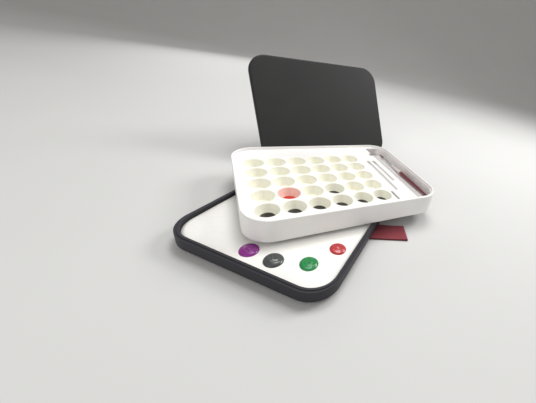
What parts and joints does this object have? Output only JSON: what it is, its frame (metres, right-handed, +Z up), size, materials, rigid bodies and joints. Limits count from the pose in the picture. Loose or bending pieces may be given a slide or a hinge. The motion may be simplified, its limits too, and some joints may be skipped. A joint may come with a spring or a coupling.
{
  "type": "wet palette",
  "caption": "Opened wet palette: shallow base with damp sheet and paint, askew tray of round wells with a brush, leaning rounded lid and flat elastic strap.",
  "frame": {"origin": "centre of the base's footprint, on the plane that its feet stand on", "axes": "+Z up; +X along the base's long side, towards the lid; +Y across the base"},
  "size_m": [0.5063, 0.3937, 0.1832],
  "materials": {
    "base_plastic": "moulded, satin",
    "foam": "damp open-cell foam",
    "palette_sheet": "damp translucent sheet",
    "purple_paint": "wet paint",
    "grey_paint": "wet paint",
    "green_paint": "wet paint",
    "red_paint": "wet paint",
    "tray_plastic": "moulded, satin",
    "dark_pool_paint": "wet thinned paint",
    "red_pool_paint": "wet thinned paint",
    "handle_lacquer": "lacquered",
    "ferrule_metal": "drawn tube",
    "bristle": "soft hair",
    "lid_plastic": "moulded, satin",
    "elastic": "woven elastic",
    "label_rubber": "blank patch",
    "seam_thread": "zigzag stitching"
  },
  "bodies": {
    "base": {"base_tray": "base_plastic", "hydro_foam": "foam", "hydro_sheet": "palette_sheet", "purple_paint": "purple_paint", "grey_paint": "grey_paint", "green_paint": "green_paint", "red_paint": "red_paint"},
    "tray": {"well_tray": "tray_plastic", "red_pool": "red_pool_paint", "dark_pool_1": "dark_pool_paint", "dark_pool_2": "dark_pool_paint", "dark_pool_3": "dark_pool_paint", "dark_pool_4": "dark_pool_paint", "dark_pool_5": "dark_pool_paint", "dark_pool_6": "dark_pool_paint", "dark_pool_7": "dark_pool_paint"},
    "brush": {"brush_handle": "handle_lacquer", "brush_ferrule": "ferrule_metal", "brush_bristles": "bristle"},
    "lid": {"lid": "lid_plastic"},
    "strap": {"elastic_strap": "elastic", "strap_label": "label_rubber", "strap_seam": "seam_thread"}
  },
  "joints": [
    {"name": "tray_lift", "type": "slide", "parent": "base", "child": "tray", "axis": [0, 0, 1], "range_m": [0, 0.08]},
    {"name": "lid_lift", "type": "slide", "parent": "base", "child": "lid", "axis": [0, 0, 1], "range_m": [0, 0.1]},
    {"name": "brush_lift", "type": "slide", "parent": "tray", "child": "brush", "axis": [0, 0, 1], "range_m": [0, 0.05]},
    {"name": "strap_pull", "type": "slide", "parent": "base", "child": "strap", "axis": [0.4462, -0.8949, 0], "range_m": [0, 0.2]}
  ]
}
